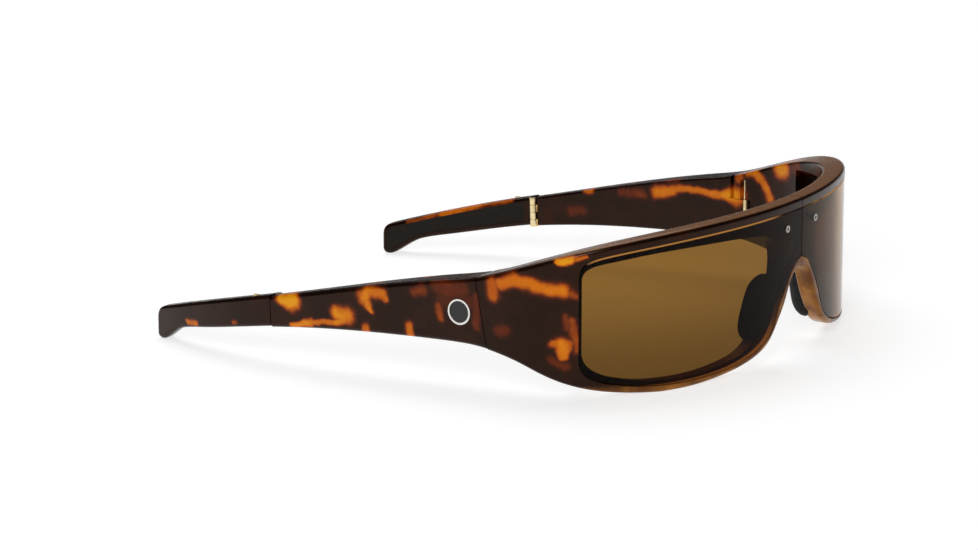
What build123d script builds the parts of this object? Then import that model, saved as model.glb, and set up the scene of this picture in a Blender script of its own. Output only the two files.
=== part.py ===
from build123d import *
import os

# Folding wrap sunglasses. Millimetres. The front faces -Y, +Z is up and x = 0 is the mirror plane.
# While it is built, y = 0 is the front of the bridge; every piece is moved to the centred frame last.

# ---- driving dimensions -------------------------------------------------------------------------
HALF_WIDTH = 71.15          # outer surface at the temple hinges
WRAP = 50.0                 # how far the front curves back from the bridge before it runs straight back
BROW_MIDDLE = 4.9           # depth of the brow shelf at the bridge
BROW_SIDE = 9.35            # depth of the brow shelf at the hinges
BROW_HEIGHT = 44.07         # top of the brow at the bridge
RIM_SIDE = 5.0              # wall of the front below the brow shelf, at the sides
RIM_STEP = 0.15             # how much thinner than the brow that wall is at the bridge
SHELF_HEIGHT = 5.2          # height of the thick brow above the thinner rim
STRAIGHT = 9.0              # length of the straight stretch behind the curve, before it is cut at the seam
END_PIECE_Y = 33.0          # front of the thick piece that carries the temple hinge
END_BEVEL_X = 65.5          # where the 45 degree bevel along the inner underside of that piece starts
LENS_THICKNESS = 2.0
LENS_DROP = 2.9             # top edge of the lens below the top of the brow
LENS_SIDE_X = 64.7
LENS_PLAY = 0.08            # gap round the lens in its seat
LENS_BEVEL = 0.35
EYE_SIDE_X = 62.7
OUTER_ROUND = 1.2           # rounding of the long edges on the outside of front and arms
INNER_ROUND = 0.7           # the same on the inside
TIP_ROUND = 1.0
SEAM_GAP = 0.12             # half of the gap between the two halves of the front
JOINT_GAP = 0.3             # gap between neighbours that move against each other
FIT_GAP = 0.03              # radial play of a knuckle on its pin
RESTING_TILT = 2.65         # degrees that the whole turns about X to rest on its rims and tips

CLEAR_TOP = 46.0            # a height above everything
CLEAR_SIDE = 80.0           # a distance from the middle beyond everything

TEMPLE_AXIS_X = 63.5
TEMPLE_AXIS_Y = 52.4
TEMPLE_SEAM_Y = 56.4        # back end of the front, on its inner face
TEMPLE_SEAM_OUTER_Y = 54.9  # the same on the outer face, at the height below
TEMPLE_SEAM_Z = 21.0
TEMPLE_SEAM_LEAN = 0.2      # how much further back the outer end of the seam is for each mm up
TEMPLE_PIN_RADIUS = 0.6
TEMPLE_PIN_BOTTOM = 13.4
TEMPLE_PIN_TOP = 30.2
TEMPLE_BARREL_RADIUS = 1.15
TONGUE_BOTTOM = 14.4
TONGUE_TOP = 23.2

TIP_AXIS_X = 64.0
TIP_AXIS_Y = 123.8
TIP_AXIS_Z = 10.0
TIP_AXIS_LEAN = 2.0         # degrees that the top of the axis leans back
TIP_PIN_RADIUS = 0.5
TIP_BARREL_RADIUS = 1.0
TIP_KNUCKLE = 2.05
TIP_KNUCKLES = 4

BRIDGE_AXIS_Y = BROW_MIDDLE
BRIDGE_PIN_RADIUS = 0.6
BRIDGE_BARREL_RADIUS = 1.5
BRIDGE_LEAF_BOTTOM = 30.9
BRIDGE_LEAF_TOP = 39.1
BRIDGE_LEAF_END = 9.2
BRIDGE_SCREW_X = 7.6
BRIDGE_SCREW_Z = 36.7

BADGE_Y = 61.6
BADGE_Z = 19.8
BADGE_RADIUS = 3.4


def wrap_y(x):
    """How far back the outer surface is at x, where the front curves."""
    return WRAP * (1 - (1 - (x / HALF_WIDTH) ** 2) ** 0.5)


def brow_top(y):
    """Height of the top line of the front, y behind the bridge."""
    return BROW_HEIGHT - 0.08 * y - 0.0034 * y ** 2


# ---- outlines: (y, z) seen from the side, (x, z) from the front, (x, y) from above --------------
ARM_TOP = [(56, 29.9), (66, 27.8), (80, 24.9), (103, 19.4), (126, 13.7)]
TOP_LINE = [(y, brow_top(y)) for y in (-3, 8, 20, 32, 44)] + ARM_TOP
RIM_SIDE_LINE = [(14.1, 0.2), (20.9, 0.9), (28.9, 2.4), (38.2, 5.8), (44.6, 8.7), (51, 10.4), (58, 11.3)]
ARM_BOTTOM = [(51, 10.5), (58, 11.3), (66, 11.2), (80, 10.4), (103, 8.4), (126, 5.2)]
NOSE_ARCH = [(0, 25.2), (4, 23), (7.3, 17.1), (10.4, 12.3), (14.6, 7.2), (20.2, 4.3), (29.4, 2.1), (40.7, 0.6),
             (51, 0.2)]
LENS_BOTTOM = [(0, 27.8), (4.6, 25), (10.5, 16.4), (14.6, 9.4), (22.6, 5.1), (39, 2.4), (51, 2.2), (59, 3.4)]
ARM_OUTER = [(71.15, 51), (71, 62), (70.2, 90), (69.6, 103), (68, 126)]
ARM_INNER = [(62, 51), (63.4, 70), (64.5, 95), (64.6, 110), (64.1, 126)]
TIP_OUTER = [(68.2, 123), (66, 140), (62, 156), (56, 173)]
TIP_INNER = [(64.2, 123), (62, 139), (58, 155), (52.4, 172)]


def outline(*edges):
    """A face on the XY plane from edges that meet end to end."""
    return make_face(list(edges))


def from_side(face, start, length):
    """Extrude a (y, z) face along +X."""
    return extrude(Plane.YZ.offset(start) * face, length)


def from_front(face, start, length):
    """Extrude an (x, z) face along +Y."""
    return extrude(Plane.XZ.offset(-start) * face, -length)


def block(x0, x1, y0, y1, z0, z1):
    return Pos(x0, y0, z0) * Box(x1 - x0, y1 - y0, z1 - z0, align=(Align.MIN, Align.MIN, Align.MIN))


def upright(x, y, z0, z1, radius):
    return Pos(x, y, z0) * Cylinder(radius, z1 - z0, align=(Align.CENTER, Align.CENTER, Align.MIN))


def wrap_ring(outer_inset, inner_x, inner_y):
    """A quarter of the front's wall seen from above, between an inset of the outer curve and an ellipse."""
    outer = Ellipse(HALF_WIDTH - outer_inset, WRAP - outer_inset)
    ring = Pos(0, WRAP) * (outer - Ellipse(inner_x, inner_y))
    quarter = Pos(SEAM_GAP, -1) * Rectangle(HALF_WIDTH, WRAP + 1, align=(Align.MIN, Align.MIN))
    return ring & quarter


def lowered(points, drop):
    return [(y, z - drop) for y, z in points]


def below_top(drop, bottom=-1.0):
    """Everything on the +X side that lies more than drop under the line of the brow and the arm."""
    points = lowered(TOP_LINE, drop)
    first, last = points[0], points[-1]
    face = outline(
        Spline(*points),
        Polyline(last, (last[0], bottom), (first[0], bottom), first),
    )
    return from_side(face, 0, CLEAR_SIDE)


def ahead_of_seam(gap):
    """Everything ahead of the seam between front and arm, which is upright inside and leans outside."""
    sections = []
    for z in (-10, 50):
        inner_y = TEMPLE_SEAM_Y + gap
        outer_y = TEMPLE_SEAM_OUTER_Y + TEMPLE_SEAM_LEAN * (z - TEMPLE_SEAM_Z) + gap
        back = [(CLEAR_SIDE, outer_y), (71, outer_y), (62, inner_y), (-5, inner_y)]
        sections.append(Pos(0, 0, z) * outline(Polyline((-5, -5), (CLEAR_SIDE, -5), *back, close=True)))
    return loft(sections, ruled=True)


def on_curve(point, half_width, wrap):
    """Whether a point lies on the upright surface that is a quarter ellipse and then straight back."""
    ratio = (point.X / half_width) ** 2 + (min(point.Y - WRAP, 0) / wrap) ** 2
    return abs(ratio - 1) < 0.004


def long_edges(solid, half_width, wrap, low=-1.0, high=CLEAR_TOP):
    """The edges along such a surface between two heights, without those at the middle and the end."""
    edges = [edge for edge in solid.edges() if edge.length > 4 and low < (edge @ 0.5).Z < high]
    edges = [edge for edge in edges if SEAM_GAP < (edge @ 0.5).X and (edge @ 0.5).Y < WRAP + STRAIGHT - 0.5]
    return [edge for edge in edges if abs((edge % 0.5).Z) < 0.97 and on_curve(edge @ 0.5, half_width, wrap)]


def rim_bottom():
    """What is left after the bottom of the front is cut to its line, from the side and from the front."""
    first, last = RIM_SIDE_LINE[0], RIM_SIDE_LINE[-1]
    side = outline(
        Line((-3, first[1]), first),
        Spline(*RIM_SIDE_LINE),
        Polyline(last, (62, last[1]), (62, CLEAR_TOP), (-3, CLEAR_TOP), (-3, first[1])),
    )
    last = NOSE_ARCH[-1]
    front = outline(
        Spline(*NOSE_ARCH),
        Polyline(last, (CLEAR_SIDE, last[1]), (CLEAR_SIDE, CLEAR_TOP), (0, CLEAR_TOP), NOSE_ARCH[0]),
    )
    return from_side(side, 0, CLEAR_SIDE) & from_front(front, -2, 70)


def end_bevel():
    """What the bevel takes off the lower inner edge of the end piece; it runs out along the arm."""
    bottom = RIM_SIDE_LINE[2:] + [(66, 9.4), (74, 6)]
    sections = []
    for x in (59, 68):
        line = lowered(bottom, x - END_BEVEL_X)
        first, last = line[0], line[-1]
        below = Polyline(last, (last[0], -5), (first[0], -5), first)
        sections.append(Plane.YZ.offset(x) * outline(Spline(*line), below))
    return loft(sections, ruled=True) & block(0, CLEAR_SIDE, END_PIECE_Y + 0.01, CLEAR_SIDE, -5, CLEAR_TOP)


def front_wall():
    """The front half before its openings are cut: a curved wall with a thicker brow along the top."""
    inner_x, inner_y = HALF_WIDTH - BROW_SIDE, WRAP - BROW_MIDDLE
    wall = extrude(wrap_ring(0, inner_x, inner_y), CLEAR_TOP)
    wall += block(inner_x, HALF_WIDTH, WRAP, WRAP + STRAIGHT, 0, CLEAR_TOP)
    wall = wall & below_top(0) & rim_bottom()
    wall = fillet(long_edges(wall, HALF_WIDTH, WRAP), OUTER_ROUND)
    wall = fillet(long_edges(wall, inner_x, inner_y, low=20), INNER_ROUND) & ahead_of_seam(0)
    rim_x, rim_y = HALF_WIDTH - RIM_SIDE, inner_y + RIM_STEP
    rim_ring = Pos(0, WRAP) * (Ellipse(rim_x, rim_y) - Ellipse(inner_x - 1, inner_y - 1))
    between = block(0, CLEAR_SIDE, 0, END_PIECE_Y, -1, CLEAR_TOP)
    wall -= extrude(rim_ring, CLEAR_TOP) & below_top(SHELF_HEIGHT) & between
    wall = fillet(long_edges(wall, rim_x, rim_y, high=20), INNER_ROUND)
    return wall - end_bevel()


def lens_outline(grow):
    """The lens seen from the front; grow widens it all round but not past the seam."""
    top = [(x, brow_top(wrap_y(x)) - LENS_DROP + grow) for x in (0, 20, 40, 50, 59)]
    side = LENS_SIDE_X + grow
    foot = [(x, z - grow) for x, z in LENS_BOTTOM]
    return outline(
        Spline(*top, tangents=[(1, 0), (1, -0.25)]),
        Spline(top[-1], (side - 1, 35.5 + grow), (side, 31), tangents=[(1, -0.25), (0, -1)]),
        Line((side, 31), (side, 11.4)),
        Spline((side, 11.4), (side - 1.4, 5.6 - grow), foot[-1], tangents=[(0, -1), (-1, -0.25)]),
        Spline(*foot[::-1], tangents=[(-1, -0.25), (-1, 0.3)]),
        Line(foot[0], top[0]),
    )


def lens_body(grow, depth):
    """The lens, or with grow the seat that it drops into."""
    ring = extrude(wrap_ring(0, HALF_WIDTH - depth, WRAP - depth), CLEAR_TOP)
    return ring & from_front(lens_outline(grow), -1, 60)


def eye_opening():
    """The hole behind the lens, straight through the wall from front to back."""
    side = EYE_SIDE_X
    top_inner, top_outer = (17.6, 36.5), (59, 35.1)
    foot_outer, foot_inner = (57.2, 4.9), (22.5, 6.6)
    face = outline(
        Spline(top_inner, (31.3, 37.4), (42.9, 37.3), (52.4, 36.5), top_outer, tangents=[(1, 0.12), (1, -0.25)]),
        Spline(top_outer, (side - 0.9, 33.6), (side, 30), tangents=[(1, -0.25), (0, -1)]),
        Line((side, 30), (side, 12.5)),
        Spline((side, 12.5), (side - 1.2, 7.6), foot_outer, tangents=[(0, -1), (-1, -0.3)]),
        Spline(foot_outer, (51.6, 3.5), (44.7, 3.1), (36.7, 3.5), (28.9, 4.7), foot_inner,
               tangents=[(-1, -0.3), (-1, 0.45)]),
        Spline(foot_inner, (17.6, 11.2), (13.9, 17), (11, 22.8), (10.1, 28), tangents=[(-1, 0.45), (-0.05, 1)]),
        Spline((10.1, 28), (12, 34.1), top_inner, tangents=[(-0.05, 1), (1, 0.12)]),
    )
    return from_front(face, -1, END_PIECE_Y + 1)


def temple_hinge_recess():
    """Room in the front's end for the arm's tongue, at rest and folded, and a slit that shows the pin."""
    x, y, seam = TEMPLE_AXIS_X, TEMPLE_AXIS_Y, TEMPLE_SEAM_Y
    pocket = block(x - 6, x + 1.45, y - 2.6, seam + 1.2, TONGUE_BOTTOM - 0.3, TONGUE_TOP + 0.3)
    slit = block(x - 6, x + 0.2, y - 0.8, y + 0.8, TONGUE_TOP, TEMPLE_PIN_TOP - 1)
    corner = outline(Polyline((x - 6, seam - 1.2), (x - 1.8, seam - 1.2), (x + 0.5, seam - 0.7),
                              (x + 0.5, seam + 1), (x - 6, seam + 1), close=True))
    return pocket + slit + extrude(corner, 45)


def temple_pin():
    return upright(TEMPLE_AXIS_X, TEMPLE_AXIS_Y, TEMPLE_PIN_BOTTOM, TEMPLE_PIN_TOP, TEMPLE_PIN_RADIUS)


def bridge_relief():
    """Clearance in the back of the bridge for the hinge knuckles and the leaf."""
    low, high = BRIDGE_LEAF_BOTTOM - 0.1, BRIDGE_LEAF_TOP + 0.1
    barrel = upright(0, BRIDGE_AXIS_Y, low, high, BRIDGE_BARREL_RADIUS + 0.35)
    return barrel + block(0, BRIDGE_LEAF_END + 0.1, BROW_MIDDLE - 1, 8, low, high)


def bridge_screw_axis(radius, start, length):
    turned = Rot(-90, 0, 0) * Cylinder(radius, length, align=(Align.CENTER, Align.CENTER, Align.MIN))
    return Pos(BRIDGE_SCREW_X, start, BRIDGE_SCREW_Z) * turned


def front_frame():
    frame = front_wall() - lens_body(LENS_PLAY, LENS_THICKNESS) - eye_opening()
    frame = frame - temple_hinge_recess() - temple_pin() - bridge_relief()
    return frame - bridge_screw_axis(0.6, -1, 8)


def lens():
    """Half of the shield, bevelled round its front edge."""
    body = lens_body(0, LENS_THICKNESS)
    front_edges = [edge for edge in body.edges() if on_curve(edge @ 0.5, HALF_WIDTH, WRAP)]
    front_edges = [edge for edge in front_edges if (edge @ 0.5).X > 2 * SEAM_GAP]
    return chamfer(front_edges, LENS_BEVEL) - bridge_screw_axis(1.0, -1, 8)


def bridge_screw():
    """A small socket-head screw whose shank ends in the hinge leaf."""
    head = bridge_screw_axis(0.95, 0.1, 0.9) - bridge_screw_axis(0.5, 0, 0.6)
    return head + bridge_screw_axis(0.6, 0.9, BROW_MIDDLE - 0.9)


def bridge_leaf(knuckles):
    """A flat leaf in the back of the bridge with its share of the knuckles."""
    low, high = BRIDGE_LEAF_BOTTOM, BRIDGE_LEAF_TOP
    plate = block(BRIDGE_BARREL_RADIUS + 0.35, BRIDGE_LEAF_END, BROW_MIDDLE - 1, BROW_MIDDLE, low, high)
    leaf = plate - bridge_screw_axis(0.6, 0, 8)
    for z0, z1 in knuckles:
        leaf += block(0, 2, BROW_MIDDLE - 1, BROW_MIDDLE, z0, z1)
        leaf += upright(0, BRIDGE_AXIS_Y, z0, z1, BRIDGE_BARREL_RADIUS)
    return leaf


def bridge_pin():
    return upright(0, BRIDGE_AXIS_Y, BRIDGE_LEAF_BOTTOM, BRIDGE_LEAF_TOP, BRIDGE_PIN_RADIUS)


def nose_pad(frame):
    """A soft pad on the inside of the nose arch, leaning outward towards its foot."""
    stations = [(15.0, 7.2, 7.2, 0.45), (14.3, 7.4, 9.2, 1), (12.3, 7.4, 15.2, 1.12), (9.6, 6.9, 21.8, 0.95),
                (8.8, 6.5, 24, 0.4)]
    sections = []
    for x, y, z, scale in stations:
        sections.append(Pos(x, y, z) * Rot(0, 0, 62) * Ellipse(3.3 * scale, 1.35 * scale))
    return loft(sections) - frame


def arm_plan(outer, inner):
    return outline(
        Spline(*outer),
        Line(outer[-1], inner[-1]),
        Spline(*inner[::-1]),
        Line(inner[0], outer[0]),
    )


def tip_frame():
    """The mid hinge's own axes: Z along its pin, Y back along the arm."""
    return Pos(TIP_AXIS_X, TIP_AXIS_Y, TIP_AXIS_Z) * Rot(-TIP_AXIS_LEAN, 0, 0)


def tip_knuckle_spans():
    step = TIP_KNUCKLE + 0.12
    low = -step * TIP_KNUCKLES / 2
    return [(low + step * n, low + step * n + TIP_KNUCKLE) for n in range(TIP_KNUCKLES)]


def tip_barrel(radius, z0, z1):
    return tip_frame() * upright(0, 0, z0, z1, radius)


def lengthwise(arm):
    """The edges that run the length of an arm, the two on its inside first."""
    return arm.edges().filter_by(lambda edge: edge.length > 50).sort_by(lambda edge: (edge @ 0.5).X)


def temple_arm():
    """The front part of an arm, with its tongue for the front hinge and pockets for both leaves."""
    x, y = TEMPLE_AXIS_X, TEMPLE_AXIS_Y
    arm = extrude(arm_plan(ARM_OUTER, ARM_INNER), CLEAR_TOP) & below_top(0)
    first, last = ARM_BOTTOM[0], ARM_BOTTOM[-1]
    bottom = outline(
        Spline(*ARM_BOTTOM),
        Polyline(last, (last[0], CLEAR_TOP), (first[0], CLEAR_TOP), first),
    )
    arm = arm & from_side(bottom, 0, CLEAR_SIDE)
    arm = fillet(lengthwise(arm)[2:], OUTER_ROUND)
    arm = fillet(lengthwise(arm)[:2], INNER_ROUND)
    arm = arm - ahead_of_seam(JOINT_GAP)
    arm = arm - tip_frame() * block(-20, 20, -JOINT_GAP / 2, 20, -30, 30)
    tongue = block(x - 1.3, x + 1.1, y, TEMPLE_SEAM_Y + 1, TONGUE_BOTTOM, TONGUE_TOP)
    tongue = tongue - upright(x, y, 0, 50, TEMPLE_BARREL_RADIUS)
    arm = arm + tongue - temple_leaf_plate() - tip_barrel(TIP_BARREL_RADIUS + 0.3, -9, 9)
    return arm - tip_anchor(0, -1) - badge_disc(BADGE_RADIUS) - end_bevel()


def temple_leaf_plate():
    x, y = TEMPLE_AXIS_X, TEMPLE_AXIS_Y
    return block(x - 0.4, x + 0.4, y + 0.9, y + 11, TONGUE_BOTTOM + 2, TONGUE_TOP - 2)


def temple_leaf():
    """The brass barrel in the arm's tongue with the plate that anchors it."""
    x, y = TEMPLE_AXIS_X, TEMPLE_AXIS_Y
    barrel = upright(x, y, TONGUE_BOTTOM, TONGUE_TOP, TEMPLE_BARREL_RADIUS)
    return barrel + temple_leaf_plate() - upright(x, y, 0, 50, TEMPLE_PIN_RADIUS + FIT_GAP)


def tip_anchor(first, sign):
    """The part of a mid-hinge leaf that sits in the plastic: a plate and a link to each of its knuckles."""
    near, link, far = sorted([0.3 * sign, 1.4 * sign, 7 * sign], key=abs)
    anchor = block(1.25, 1.95, min(near, far), max(near, far), -3.6, 3.6)
    for z0, z1 in tip_knuckle_spans()[first::2]:
        anchor += block(0.4, 1.95, min(near, link), max(near, link), z0, z1)
    return tip_frame() * anchor


def tip_leaf(first, sign, play):
    """Every second knuckle of the mid hinge, from the first, with its anchor; sign is +1 behind the pin."""
    leaf = tip_anchor(first, sign)
    for z0, z1 in tip_knuckle_spans()[first::2]:
        leaf += tip_barrel(TIP_BARREL_RADIUS, z0, z1)
    return leaf - tip_barrel(TIP_PIN_RADIUS + play, -9, 9)


def tip_pin():
    return tip_barrel(TIP_PIN_RADIUS, tip_knuckle_spans()[0][0], tip_knuckle_spans()[-1][1])


def tip_side(inset):
    """A tip seen from the side, with its hook; inset draws it in all round."""
    top = lowered([(121, 15.2), (134.7, 11.9), (150.5, 7.7), (161, 4.7), (167, 2.9)], inset)
    bottom = [(166, -5.7), (163.4, -3.9), (160.6, -2.2), (156.3, -0.8), (150, 0.5), (137.7, 3.1), (121, 6.4)]
    bottom = lowered(bottom, -inset)
    back = 170.4 - inset
    heel = -5 + inset / 2
    return outline(
        Spline(*top),
        Spline(top[-1], (back - 0.7, 1.4 - inset / 2), (back, -1), tangents=[(1, -0.28), (0, -1)]),
        Line((back, -1), (back, heel)),
        Spline((back, heel), (back - 1.6, heel - 1.7), bottom[0], tangents=[(0, -1), (-0.85, 0.55)]),
        Spline(*bottom),
        Line(bottom[-1], top[0]),
    )


def shifted(points, dx):
    return [(x + dx, y) for x, y in points]


def tip_body(outer, inner, inset):
    """A tip between two lines seen from above, drawn in from its outline seen from the side."""
    return extrude(Pos(0, 0, -10) * arm_plan(outer, inner), 30) & from_side(tip_side(inset), 0, CLEAR_SIDE)


def tip_pad_layer(near, far, inset):
    """The layer of a tip between two depths under its inner face, drawn in from its outline."""
    layer = tip_body(shifted(TIP_INNER, far), shifted(TIP_INNER, near), inset)
    return layer & tip_frame() * block(-40, 40, 3.2, 60, -30, 30)


def temple_tip():
    """The back part of an arm, rounded along both rims of its outline."""
    tip = tip_body(TIP_OUTER, TIP_INNER, 0)
    rims = [edge for edge in tip.edges() if edge.length > 4.5 and (edge @ 0.5).Y > TIP_AXIS_Y]
    tip = fillet(rims, TIP_ROUND)
    tip = tip & tip_frame() * block(-40, 40, JOINT_GAP / 2, 60, -30, 30)
    tip = tip - tip_barrel(TIP_BARREL_RADIUS + 0.3, -9, 9)
    return tip - tip_anchor(1, 1) - tip_pad_layer(-1, 0.9, 1.3)


def tip_pad():
    return tip_pad_layer(0.15, 0.9, 1.3)


def badge_disc(radius):
    disc = Rot(0, 90, 0) * Cylinder(radius, 1, align=(Align.CENTER, Align.CENTER, Align.MIN))
    return Pos(70.2, BADGE_Y, BADGE_Z) * disc


def badge():
    """A plain round inlay with a raised rim."""
    return badge_disc(BADGE_RADIUS) - Pos(0.8, 0, 0) * badge_disc(BADGE_RADIUS - 0.5)


def halves():
    """Every node that both sides have, built on +X."""
    frame = front_frame()
    return {
        "front_frame": frame,
        "lens": lens(),
        "nose_pad": nose_pad(frame),
        "bridge_screw": bridge_screw(),
        "temple_pin": temple_pin(),
        "temple_arm": temple_arm(),
        "temple_hinge_leaf": temple_leaf(),
        "arm_badge": badge(),
        "arm_tip_leaf": tip_leaf(0, -1, 0),
        "tip_hinge_pin": tip_pin(),
        "temple_tip": temple_tip(),
        "tip_hinge_leaf": tip_leaf(1, 1, FIT_GAP),
        "tip_pad": tip_pad(),
    }


def bridge_hinge():
    """The pin with the two leaves that share its knuckles: one on the left half, two on the right."""
    low, high = BRIDGE_LEAF_BOTTOM, BRIDGE_LEAF_TOP
    third = (high - low) / 3
    gap = 0.06
    pin = bridge_pin()
    inner = bridge_leaf([(low + third + gap, high - third - gap)])
    outer = bridge_leaf([(low, low + third - gap), (high - third + gap, high)])
    return {
        "bridge_hinge_leaf_left": inner - upright(0, BRIDGE_AXIS_Y, 0, 50, BRIDGE_PIN_RADIUS + FIT_GAP),
        "bridge_hinge_leaf_right": mirror(outer, about=Plane.YZ) - pin,
        "bridge_hinge_pin": pin,
    }


def assembly():
    nodes = bridge_hinge()
    for name, piece in halves().items():
        nodes["left_" + name] = piece
        nodes["right_" + name] = mirror(piece, about=Plane.YZ)
    return nodes


def main():
    """Tilt the glasses until they rest on their tips, cut feet for the rims and write every piece."""
    tilt = Rot(RESTING_TILT, 0, 0)
    nodes = {name: tilt * piece for name, piece in assembly().items()}
    resting = nodes["left_temple_tip"].bounding_box().min.Z
    below = block(-CLEAR_SIDE, CLEAR_SIDE, -10, END_PIECE_Y, resting - 5, resting)
    for side in ("left", "right"):
        nodes[side + "_front_frame"] -= below
    boxes = [piece.bounding_box() for piece in nodes.values()]
    middle = (min(box.min.Y for box in boxes) + max(box.max.Y for box in boxes)) / 2
    place = Pos(0, -middle, -resting)
    os.makedirs("parts", exist_ok=True)
    for name, piece in nodes.items():
        export_step(place * piece, f"parts/{name}.step")
    print(f"moved by y {-middle:.6f}, z {-resting:.6f} mm")


main()
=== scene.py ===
"""Looks of the folding wrap sunglasses: tortoise nylon, tinted lenses, rubber pads and brass hinges."""
import math

import bpy
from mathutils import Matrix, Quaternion, Vector

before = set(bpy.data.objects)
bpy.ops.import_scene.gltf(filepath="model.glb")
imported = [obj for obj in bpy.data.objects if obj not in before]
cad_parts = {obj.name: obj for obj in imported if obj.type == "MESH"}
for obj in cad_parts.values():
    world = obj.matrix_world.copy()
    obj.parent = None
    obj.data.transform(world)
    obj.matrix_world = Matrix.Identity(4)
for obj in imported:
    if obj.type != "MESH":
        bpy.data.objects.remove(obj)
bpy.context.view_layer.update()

MM = 0.001
SIDES = ("left", "right")

# ---- camera: where it looks, from where, and how long its lens is --------------------------------
CAMERA_AZIMUTH = -56.702
CAMERA_ELEVATION = 13.376
CAMERA_DISTANCE = 1.1042
CAMERA_ROLL = -2.321
CAMERA_AIM = Vector((-6.13, 9.34, 13.83)) * MM
CAMERA_LENS = 147.24

# ---- colours, linear ----------------------------------------------------------------------------
NEAR_BLACK = (0.0075, 0.0022, 0.0011)
DARK_BROWN = (0.026, 0.0050, 0.0020)
RED_BROWN = (0.13, 0.018, 0.0035)
ORANGE = (0.52, 0.098, 0.003)
AMBER = (0.70, 0.175, 0.003)
YELLOW = (0.90, 0.36, 0.006)
HONEY_DARK = (0.12, 0.040, 0.008)
HONEY_LIGHT = (0.36, 0.145, 0.020)
# painted sheen: the warm satin reflection on the brow's upward faces, painted into the base colour
PAINTED_TOP_SHEEN = (0.260, 0.125, 0.062)
SHEEN = (1.0, 0.62, 0.45)
LENS_TINT = (0.245, 0.124, 0.026)
# painted shade: the lens tint halves towards its foot, for the shadowed floor seen through it
LENS_TINT_PAINTED_SHADE_FOOT = (0.1225, 0.062, 0.013)
# painted glint: emission along the lens's top edge, standing in for light caught on its bevel
PAINTED_LENS_EDGE_GLINT = (0.75, 0.33, 0.08)
NOSE_RUBBER = (0.005, 0.004, 0.003)
TIP_RUBBER = (0.012, 0.009, 0.007)
BRASS = (0.95, 0.78, 0.46)
BRASS_TARNISH = (0.75, 0.56, 0.28)
STEEL = (0.50, 0.46, 0.42)
STEEL_TARNISH = (0.30, 0.27, 0.24)
ENAMEL = (0.012, 0.010, 0.010)
BADGE_RING = (0.85, 0.83, 0.80)

# ---- tortoise strokes: (y, z) at both ends, half width at both ends in mm, strength --------------
# Strength 1 is full orange, more is yellow, less is reddish brown. The end strokes lie on the front
# frame, the inner ones on the inner face of the left frame and arm.
RIGHT_END_STROKES = [
    ((-34.4, 30.0), (-34.4, 27.2), 2.1, 1.9, 0.88),
    ((-36.5, 30.2), (-41.0, 31.6), 1.6, 2.4, 1.02),
    ((-41.0, 31.6), (-45.0, 30.6), 2.4, 2.1, 1.04),
    ((-45.0, 30.6), (-49.0, 29.3), 2.1, 1.9, 1.06),
    ((-49.0, 29.3), (-52.4, 29.0), 1.9, 2.3, 1.08),
    ((-54.6, 28.4), (-55.5, 27.6), 1.3, 1.2, 0.62),
    ((-52.0, 36.8), (-54.6, 37.1), 1.1, 1.2, 1.16),
    ((-54.6, 37.1), (-58.5, 37.6), 1.1, 0.5, 0.88),
    ((-50.2, 15.0), (-52.2, 14.7), 1.2, 2.1, 0.92),
    ((-52.2, 14.7), (-52.2, 11.8), 2.2, 1.2, 1.04),
    ((-54.6, 21.0), (-55.2, 13.5), 1.2, 1.4, 0.70),
    ((-53.0, 22.0), (-53.4, 19.5), 1.2, 1.2, 0.58),
    ((-36.0, 18.0), (-37.5, 18.0), 1.8, 1.8, 0.50),
    ((-49.5, 11.0), (-52.5, 9.0), 1.4, 1.4, 0.52),
]
RIGHT_ARM_STROKES = [
    ((-0.4, 22.5), (1.0, 24.0), 1.0, 1.7, 0.97),
    ((1.0, 24.0), (5.6, 23.8), 1.7, 2.0, 1.04),
    ((5.6, 23.8), (6.8, 22.2), 2.0, 2.3, 1.06),
    ((6.8, 22.2), (4.6, 19.0), 1.9, 1.0, 1.02),
    ((12.6, 16.6), (16.4, 17.2), 2.6, 2.0, 1.08),
    ((13.5, 15.4), (17.5, 14.4), 1.3, 0.9, 1.02),
    ((17.5, 14.4), (25.0, 13.4), 0.9, 0.7, 1.00),
    ((25.0, 13.3), (31.5, 11.9), 1.2, 0.9, 1.02),
    ((31.0, 18.4), (35.0, 18.7), 2.4, 1.9, 1.34),
    ((-7.5, 16.2), (-7.5, 13.4), 1.5, 1.5, 1.00),
    ((6.9, 14.2), (6.9, 13.2), 1.5, 1.5, 0.94),
    ((-9.2, 25.4), (-12.6, 26.2), 1.4, 1.7, 0.62),
    ((-17.1, 22.3), (-17.5, 19.3), 1.5, 1.4, 0.68),
    ((-17.0, 27.2), (-25.0, 27.4), 2.4, 2.4, 0.50),
    ((-18.0, 24.0), (-27.0, 24.6), 2.4, 2.4, 0.42),
    ((-29.0, 26.0), (-29.0, 18.0), 1.4, 1.4, 0.50),
]
RIGHT_TIP_STROKES = [
    ((68.0, 7.5), (71.8, 7.3), 0.9, 0.9, 0.92),
    ((51.5, 9.7), (52.5, 9.6), 0.8, 0.8, 0.70),
]
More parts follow.
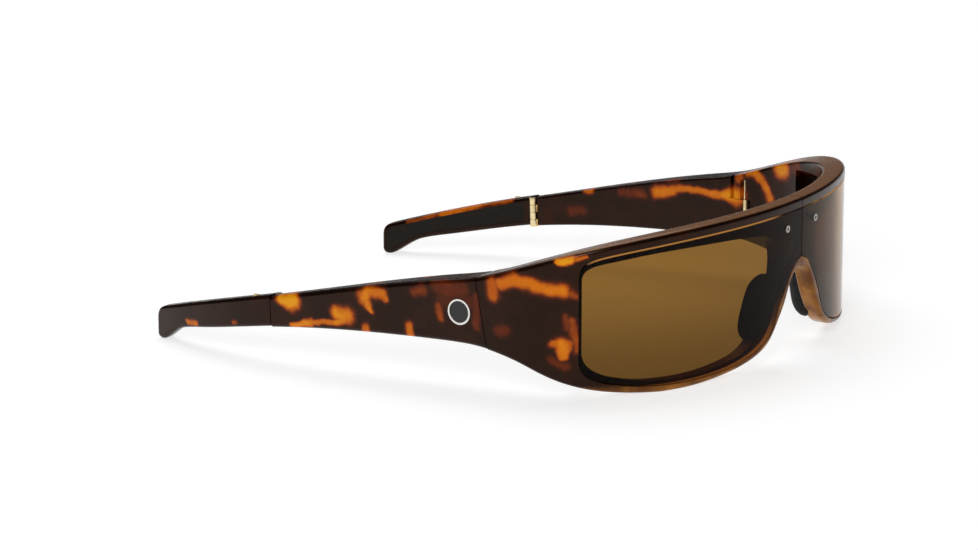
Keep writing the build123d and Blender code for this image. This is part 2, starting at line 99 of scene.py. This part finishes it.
LEFT_INNER_STROKES = [
    ((-3.6, 24.0), (-8.8, 25.0), 2.1, 1.9, 1.08),
    ((-8.8, 25.6), (-13.0, 26.2), 1.5, 1.3, 1.02),
    ((-13.0, 26.2), (-20.0, 25.7), 1.3, 1.2, 1.04),
    ((-20.0, 25.7), (-26.0, 25.3), 1.2, 1.3, 1.05),
    ((-26.0, 25.3), (-30.5, 25.7), 1.3, 3.4, 1.18),
    ((-2.0, 28.4), (-10.0, 28.8), 1.6, 1.6, 0.54),
    ((19.2, 23.0), (21.0, 22.8), 1.5, 1.5, 0.94),
    ((1.0, 23.0), (9.0, 23.0), 1.6, 1.6, 0.52),
    ((22.0, 16.0), (26.0, 16.0), 1.8, 1.8, 0.48),
    ((-32.0, 34.0), (-32.0, 30.8), 1.7, 1.7, 0.80),
    ((-34.5, 33.0), (-37.5, 32.8), 1.4, 1.5, 0.92),
    ((-37.5, 32.8), (-40.3, 30.0), 1.5, 1.6, 0.98),
    ((-40.3, 30.0), (-42.0, 26.0), 1.6, 1.7, 1.02),
    ((-46.2, 35.0), (-47.6, 35.0), 2.7, 2.7, 1.14),
    ((-52.5, 36.5), (-54.0, 36.0), 2.2, 2.2, 0.54),
]
LEFT_TIP_STROKES = [
    ((46.0, 17.6), (56.0, 15.4), 0.8, 1.2, 0.80),
    ((56.0, 15.4), (68.0, 12.4), 1.2, 1.1, 0.98),
    ((68.0, 12.4), (78.0, 9.8), 1.1, 0.7, 0.70),
]

# ---- where the rim shows honey-coloured under the lens: height in mm against distance from the middle
HONEY_TOP = [
    (0, 28.0),
    (4.6, 25.2),
    (10.4, 16.8),
    (14.5, 10.0),
    (22.3, 5.4),
    (38.3, 2.6),
    (50, 2.2),
    (60, 2.2),
]
HONEY_SPAN = 60.0
HONEY_HEIGHT = 30.0

# ---- the room: bright behind the glasses, dim on the side they are seen from ---------------------
SWEEP_DIRECTION = (0.8, 0.5, 0.35)
SWEEP_DIM = 0.25
SWEEP_BRIGHT = 1.0
FLOOR_HALF = 4.0            # half the floor's width, m

# ---- small measures, mm -------------------------------------------------------------------------
BADGE_CENTRE = (-23.6, 21.6)
BADGE_ENAMEL = 2.9          # radius of the dark middle of the badge
LENS_HEIGHT = 38.0
LENS_GAP = 0.03             # left free between each lens and its seat
CREASE_ANGLE = math.radians(30)


class Nodes:
    """Adds shader nodes to one material. Every input is a plain value or the output of another node."""

    def __init__(self, name):
        self.material = bpy.data.materials.new(name)
        self.material.use_nodes = True
        self.tree = self.material.node_tree
        self.shader = self.tree.nodes["Principled BSDF"]
        self.output = self.tree.nodes["Material Output"]

    def put(self, socket, value):
        """Links an output to the socket, or sets the socket's own value."""
        if isinstance(value, bpy.types.NodeSocket):
            self.tree.links.new(value, socket)
        elif socket.type == "RGBA" and len(value) == 3:
            socket.default_value = (*value, 1)
        else:
            socket.default_value = value

    def add(self, kind, inputs=(), **settings):
        """A new node, with its inputs by name or number and its properties as settings."""
        node = self.tree.nodes.new("ShaderNode" + kind)
        for key, value in settings.items():
            setattr(node, key, value)
        for key, value in dict(inputs).items():
            self.put(node.inputs[key], value)
        return node

    def math(self, operation, *values):
        return self.add("Math", enumerate(values), operation=operation).outputs[0]

    def vector(self, operation, *values):
        return self.add("VectorMath", enumerate(values), operation=operation).outputs[0]

    def scaled(self, vector, factor):
        return self.add("VectorMath", {0: vector, "Scale": factor}, operation="SCALE").outputs[0]

    def fade(self, value, start, end, low=0.0, high=1.0):
        """A smooth step from low to high as value goes from start to end."""
        inputs = {"Value": value, "From Min": start, "From Max": end, "To Min": low, "To Max": high}
        return self.add("MapRange", inputs, interpolation_type="SMOOTHSTEP").outputs[0]

    def mix(self, share, first, second):
        """A colour between the first, at share 0, and the second, at share 1."""
        node = self.add("Mix", data_type="RGBA")
        for socket, value in zip((node.inputs[0], node.inputs[6], node.inputs[7]), (share, first, second)):
            self.put(socket, value)
        return node.outputs[2]

    def noise(self, place, scale, detail=2.0, roughness=0.5, output="Fac"):
        """Smooth noise with that many cells per millimetre."""
        inputs = {"Vector": place, "Scale": scale, "Detail": detail, "Roughness": roughness}
        return self.add("TexNoise", inputs).outputs[output]

    def split(self, vector, axis):
        """One of the coordinates of a vector."""
        return self.add("SeparateXYZ", {0: vector}).outputs[axis]

    def facing_up(self):
        """The upward part of the face's own normal."""
        return self.split(self.add("NewGeometry").outputs["True Normal"], "Z")

    def ramp(self, value, stops):
        """A colour from a list of (value, colour) stops."""
        node = self.add("ValToRGB", {"Fac": value})
        elements = node.color_ramp.elements
        while len(elements) < len(stops):
            elements.new(0.5)
        for element, (position, colour) in zip(elements, stops):
            element.position = position
            element.color = (*colour, 1)
        return node.outputs[0]

    def millimetres(self):
        """The place on the object, in millimetres, at rest."""
        return self.scaled(self.add("TexCoord").outputs["Object"], 1 / MM)

    def bump(self, height, depth):
        """A relief of that depth in metres on the shader's normal."""
        node = self.add("Bump", {"Height": height, "Distance": depth, "Strength": 1.0})
        self.put(self.shader.inputs["Normal"], node.outputs[0])

    def set(self, **values):
        for key, value in values.items():
            self.put(self.shader.inputs[key.replace("_", " ")], value)


# ---- materials ----------------------------------------------------------------------------------
def stroke_glow(nodes, place, strokes):
    """How strongly a point glows in any of the strokes, seen from the side."""
    flat = nodes.vector("MULTIPLY", place, (0, 1, 1))
    total = 0.0
    for start, end, start_width, end_width, strength in strokes:
        start, end = Vector((0, *start)), Vector((0, *end))
        run = end - start
        offset = nodes.vector("SUBTRACT", flat, start)
        along = nodes.add("VectorMath", {0: offset, 1: run / run.length_squared}, operation="DOT_PRODUCT")
        share = nodes.add("Clamp", {"Value": along.outputs["Value"]}).outputs[0]
        foot = nodes.scaled(run, share)
        distance = nodes.add("VectorMath", {0: offset, 1: foot}, operation="DISTANCE").outputs["Value"]
        width = nodes.math("MULTIPLY_ADD", share, end_width - start_width, start_width)
        glow = nodes.fade(nodes.math("DIVIDE", distance, width), 1.75, 0.25, 0.0, strength)
        total = nodes.math("MAXIMUM", total, glow)
    return total


def honey_share(nodes, place):
    """1 on the rim under and beside the lens, where thin plastic lets light through, and 0 elsewhere."""
    across = nodes.math("DIVIDE", nodes.math("ABSOLUTE", nodes.split(place, "X")), HONEY_SPAN)
    curve = nodes.add("FloatCurve", {"Value": across})
    points = curve.mapping.curves[0].points
    while len(points) < len(HONEY_TOP):
        points.new(0.5, 0.5)
    for point, (x, z) in zip(points, HONEY_TOP):
        point.location = (x / HONEY_SPAN, z / HONEY_HEIGHT)
    curve.mapping.update()
    top = nodes.math("MULTIPLY", curve.outputs[0], HONEY_HEIGHT)
    above = nodes.math("SUBTRACT", nodes.split(place, "Z"), top)
    near_middle = nodes.fade(nodes.split(place, "Y"), -35.0, -55.0)
    return nodes.math("MULTIPLY", nodes.fade(above, 1.6, -0.6), near_middle)


def mottled(nodes, place, wavy, glow, free):
    """Replaces the glow by random blotches where x is over free."""
    blotches = nodes.noise(wavy, 0.075, 1.5, 0.4)
    share = nodes.fade(nodes.split(place, "X"), free - 0.5, free + 0.5)
    random_glow = nodes.math("MULTIPLY", nodes.fade(blotches, 0.50, 0.74, 0.0, 1.1), share)
    listed = nodes.math("MULTIPLY", glow, nodes.math("SUBTRACT", 1.0, share))
    return nodes.math("ADD", listed, random_glow)


def honey_rim_and_painted_sheen(nodes, place, wavy, colour):
    """Honey-coloured on the thin rim, and a painted warm sheen, standing in for the satin reflection, on
    the upward faces of the brow towards the bridge.
    """
    tone = nodes.mix(nodes.fade(nodes.noise(wavy, 0.12), 0.35, 0.7), HONEY_DARK, HONEY_LIGHT)
    colour = nodes.mix(honey_share(nodes, place), colour, tone)
    bridge_side = nodes.fade(nodes.split(place, "Y"), -40.0, -60.0, 0.25)
    # painted sheen on the faces that point up, strongest towards the bridge
    top = nodes.math("MULTIPLY", nodes.fade(nodes.facing_up(), 0.6, 0.95), bridge_side)
    return nodes.mix(top, colour, PAINTED_TOP_SHEEN)


def tortoise(name, strokes, free=None, honey_and_painted_sheen=False):
    """Satin nylon, near-black to reddish brown, with soft orange strokes.

    free is the x, in mm, beyond which the mottling is random; without it only the listed strokes glow.
    """
    nodes = Nodes(name)
    place = nodes.millimetres()
    wobble = nodes.noise(place, 0.22, 3.0, output="Color")
    centred = nodes.vector("SUBTRACT", wobble, (0.5, 0.5, 0.5))
    wavy = nodes.vector("ADD", place, nodes.scaled(centred, 2.2))
    glow = stroke_glow(nodes, wavy, strokes)
    if free is not None:
        glow = mottled(nodes, place, wavy, glow, free)
    smoke = nodes.noise(wavy, 0.11, 4.0, 0.6)
    glow = nodes.math("ADD", glow, nodes.fade(smoke, 0.45, 0.75, 0.0, 0.20))
    colour = nodes.ramp(nodes.math("DIVIDE", glow, 1.3), [
        (0.00, NEAR_BLACK),
        (0.22, DARK_BROWN),
        (0.45, RED_BROWN),
        (0.68, ORANGE),
        (0.82, AMBER),
        (1.00, YELLOW),
    ])
    # the honey rim, and the painted sheen on the brow's top faces
    if honey_and_painted_sheen:
        colour = honey_rim_and_painted_sheen(nodes, place, wavy, colour)
    wear = nodes.noise(place, 0.35, 3.0)
    nodes.set(
        Base_Color=colour,
        Roughness=nodes.fade(wear, 0.3, 0.7, 0.20, 0.28),
        IOR=1.5,
        Specular_IOR_Level=0.25,
        Specular_Tint=SHEEN,
    )
    nodes.bump(nodes.noise(place, 5.0, 3.0), 0.006 * MM)
    return nodes.material


def tinted_lens():
    """Brown polycarbonate, clear enough to see the frame and the pads through it.

    It is darker towards its foot, where the shade of the floor behind it is painted into the tint; its top
    edge carries a painted glint that glows as emission; and it lets the light of the lamps through.
    """
    nodes = Nodes("brown_lens")
    place = nodes.millimetres()
    # the tint darkens towards the foot: painted shade
    tint_and_painted_shade = nodes.mix(nodes.fade(nodes.split(place, "Z"), 0.0, LENS_HEIGHT), LENS_TINT_PAINTED_SHADE_FOOT, LENS_TINT)
    beside_bridge = nodes.fade(nodes.math("ABSOLUTE", nodes.split(place, "X")), 9.0, 16.0)
    # painted glint: the upward bevel of the lens glows, away from the bridge
    painted_glint_share = nodes.math("MULTIPLY", nodes.fade(nodes.facing_up(), 0.35, 0.55), beside_bridge)
    smears = nodes.noise(place, 0.3, 5.0, 0.6)
    nodes.set(
        Base_Color=tint_and_painted_shade,
        Roughness=nodes.fade(smears, 0.45, 0.75, 0.02, 0.06),
        IOR=1.15,
        Transmission_Weight=1.0,
        Emission_Color=PAINTED_LENS_EDGE_GLINT,
        Emission_Strength=nodes.math("MULTIPLY", painted_glint_share, 0.5),
    )
    nodes.bump(nodes.noise(place, 0.05, 1.0), 0.02 * MM)
    lamp_tint = nodes.add("Gamma", {"Color": tint_and_painted_shade, "Gamma": 0.5}).outputs[0]
    clear = nodes.add("BsdfTransparent", {"Color": lamp_tint}).outputs[0]
    lamp_ray = nodes.add("LightPath").outputs["Is Shadow Ray"]
    both = nodes.add("MixShader", {0: lamp_ray, 1: nodes.shader.outputs[0], 2: clear}).outputs[0]
    nodes.put(nodes.output.inputs["Surface"], both)
    return nodes.material


def rubber(name, colour, stipple):
    """Soft matte rubber with a moulded stipple of that depth, and a little dust in patches."""
    nodes = Nodes(name)
    place = nodes.millimetres()
    dust = nodes.fade(nodes.noise(place, 0.6), 0.4, 0.75)
    nodes.set(
        Base_Color=nodes.mix(dust, colour, [1.5 * c + 0.001 for c in colour]),
        Roughness=nodes.fade(dust, 0, 1, 0.62, 0.78),
        IOR=1.5,
        Specular_IOR_Level=0.15,
    )
    cells = nodes.add("TexVoronoi", {"Vector": place, "Scale": 3.2}).outputs["Distance"]
    nodes.bump(cells, stipple)
    return nodes.material


def metal(name, colour, dull, roughness, along):
    """Drawn metal: fine lines along one axis, a little tarnish in patches."""
    nodes = Nodes(name)
    place = nodes.millimetres()
    stretch = nodes.add("Mapping", {"Vector": place, "Scale": along}).outputs[0]
    lines = nodes.noise(stretch, 3.0)
    tarnish = nodes.fade(nodes.noise(place, 0.8, 4.0, 0.6), 0.45, 0.75)
    nodes.set(
        Base_Color=nodes.mix(tarnish, colour, dull),
        Metallic=1.0,
        Roughness=nodes.fade(lines, 0.3, 0.7, roughness, roughness + 0.08),
    )
    nodes.bump(lines, 0.002 * MM)
    return nodes.material


def enamelled_badge():
    """Dark enamel inside a bright ring."""
    nodes = Nodes("badge_enamel")
    place = nodes.millimetres()
    centred = nodes.vector("SUBTRACT", place, (0, *BADGE_CENTRE))
    flat = nodes.vector("MULTIPLY", centred, (0, 1, 1))
    radius = nodes.add("VectorMath", {0: flat}, operation="LENGTH").outputs["Value"]
    ring = nodes.fade(radius, BADGE_ENAMEL - 0.03, BADGE_ENAMEL + 0.03)
    wear = nodes.noise(place, 2.0, 3.0)
    nodes.set(
        Base_Color=nodes.mix(ring, ENAMEL, BADGE_RING),
        Metallic=ring,
        Roughness=nodes.fade(wear, 0.3, 0.7, 0.25, 0.40),
    )
    return nodes.material


def dress():
    """Every CAD node gets the material of its piece."""
    brass = metal("hinge_brass", BRASS, BRASS_TARNISH, 0.25, (1, 1, 0.08))
    shared = {
        "lens": tinted_lens(),
        "nose_pad": rubber("nose_rubber", NOSE_RUBBER, 0.004 * MM),
        "bridge_screw": metal("screw_steel", STEEL, STEEL_TARNISH, 0.30, (1, 0.1, 1)),
        "temple_pin": brass,
        "temple_hinge_leaf": brass,
        "arm_badge": enamelled_badge(),
        "arm_tip_leaf": brass,
        "tip_hinge_pin": brass,
        "tip_hinge_leaf": brass,
        "tip_pad": rubber("tip_rubber", TIP_RUBBER, 0.006 * MM),
    }
    nylon = {
        "right_front_frame": tortoise("right_front_nylon", RIGHT_END_STROKES, honey_and_painted_sheen=True),
        "left_front_frame": tortoise("left_front_nylon", LEFT_INNER_STROKES, free=66.5, honey_and_painted_sheen=True),
        "right_temple_arm": tortoise("right_arm_nylon", RIGHT_ARM_STROKES, free=-66.0),
        "left_temple_arm": tortoise("left_arm_nylon", LEFT_INNER_STROKES, free=67),
        "right_temple_tip": tortoise("right_tip_nylon", RIGHT_TIP_STROKES),
        "left_temple_tip": tortoise("left_tip_nylon", LEFT_TIP_STROKES),
    }
    finishes = {f"{side}_{piece}": material for side in SIDES for piece, material in shared.items()}
    finishes.update(nylon)
    finishes.update({node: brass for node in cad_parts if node.startswith("bridge_hinge")})
    for node, material in finishes.items():
        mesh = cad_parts[node].data
        mesh.materials.clear()
        mesh.materials.append(material)


# ---- studio -------------------------------------------------------------------------------------
def studio_floor():
    """A plain pale floor far larger than the view."""
    mesh = bpy.data.meshes.new("floor")
    corners = [(x * FLOOR_HALF, y * FLOOR_HALF, 0) for x, y in ((-1, -1), (1, -1), (1, 1), (-1, 1))]
    mesh.from_pydata(corners, [], [(0, 1, 2, 3)])
    floor = bpy.data.objects.new("floor", mesh)
    bpy.context.scene.collection.objects.link(floor)
    nodes = Nodes("pale_floor")
    nodes.set(
        Base_Color=(0.45, 0.45, 0.45),
        Roughness=0.95,
        Specular_IOR_Level=0.1,
        Emission_Color=(1.0, 1.0, 1.0),
        Emission_Strength=0.72,
    )
    mesh.materials.append(nodes.material)


def soft_light(name, place, aim, size, power):
    """A round lamp of that width in metres and power in watts, turned towards aim."""
    light = bpy.data.lights.new(name, "AREA")
    light.shape = "DISK"
    light.size = size
    light.energy = power
    lamp = bpy.data.objects.new(name, light)
    lamp.location = place
    lamp.rotation_mode = "QUATERNION"
    lamp.rotation_quaternion = (aim - Vector(place)).to_track_quat("-Z", "Y")
    bpy.context.scene.collection.objects.link(lamp)


def studio_lights():
    """A white sweep that fades behind the camera, a large lamp overhead and a small one in front."""
    world = bpy.data.worlds.new("studio")
    world.use_nodes = True
    tree = world.node_tree
    direction = tree.nodes.new("ShaderNodeTexCoord").outputs["Generated"]
    away = tree.nodes.new("ShaderNodeVectorMath")
    away.operation = "DOT_PRODUCT"
    away.inputs[1].default_value = SWEEP_DIRECTION
    tree.links.new(direction, away.inputs[0])
    brightness = tree.nodes.new("ShaderNodeMapRange")
    brightness.inputs["From Min"].default_value = -0.4
    brightness.inputs["From Max"].default_value = 0.5
    brightness.inputs["To Min"].default_value = SWEEP_DIM
    brightness.inputs["To Max"].default_value = SWEEP_BRIGHT
    tree.links.new(away.outputs["Value"], brightness.inputs["Value"])
    tree.links.new(brightness.outputs["Result"], tree.nodes["Background"].inputs["Strength"])
    bpy.context.scene.world = world
    middle = Vector((0, 0, 0.02))
    soft_light("overhead", (0.5, 0.6, 1.6), middle, 1.6, 18)
    soft_light("front_fill", (-1.3, -0.6, 0.9), middle, 0.6, 10)


def camera():
    """Stands at an azimuth and an elevation round the point that it aims at, and is rolled a little."""
    azimuth, elevation = math.radians(CAMERA_AZIMUTH), math.radians(CAMERA_ELEVATION)
    flat = math.cos(elevation)
    back = Vector((math.sin(azimuth) * flat, -math.cos(azimuth) * flat, math.sin(elevation)))
    data = bpy.data.cameras.new("camera")
    data.lens = CAMERA_LENS
    data.clip_start, data.clip_end = 0.05, 50
    eye = bpy.data.objects.new("camera", data)
    eye.location = CAMERA_AIM + back * CAMERA_DISTANCE
    eye.rotation_mode = "QUATERNION"
    roll = Quaternion((0, 0, 1), math.radians(CAMERA_ROLL))
    eye.rotation_quaternion = (-back).to_track_quat("-Z", "Y") @ roll
    bpy.context.scene.collection.objects.link(eye)
    bpy.context.scene.camera = eye


def free_lenses():
    """Draws each lens in by a hair all round, so that its back does not coincide with its seat."""
    for side in SIDES:
        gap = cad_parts[side + "_lens"].modifiers.new("clearance", "DISPLACE")
        gap.mid_level = 0.0
        gap.strength = -LENS_GAP * MM


def smooth_faces():
    """Curved CAD faces shade smoothly, and edges sharper than the crease angle stay crisp."""
    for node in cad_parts.values():
        with bpy.context.temp_override(object=node, active_object=node, selected_editable_objects=[node]):
            bpy.ops.object.shade_smooth_by_angle(angle=CREASE_ANGLE)


bpy.context.scene.view_settings.view_transform = "Standard"
camera()
free_lenses()
smooth_faces()
dress()
studio_floor()
studio_lights()
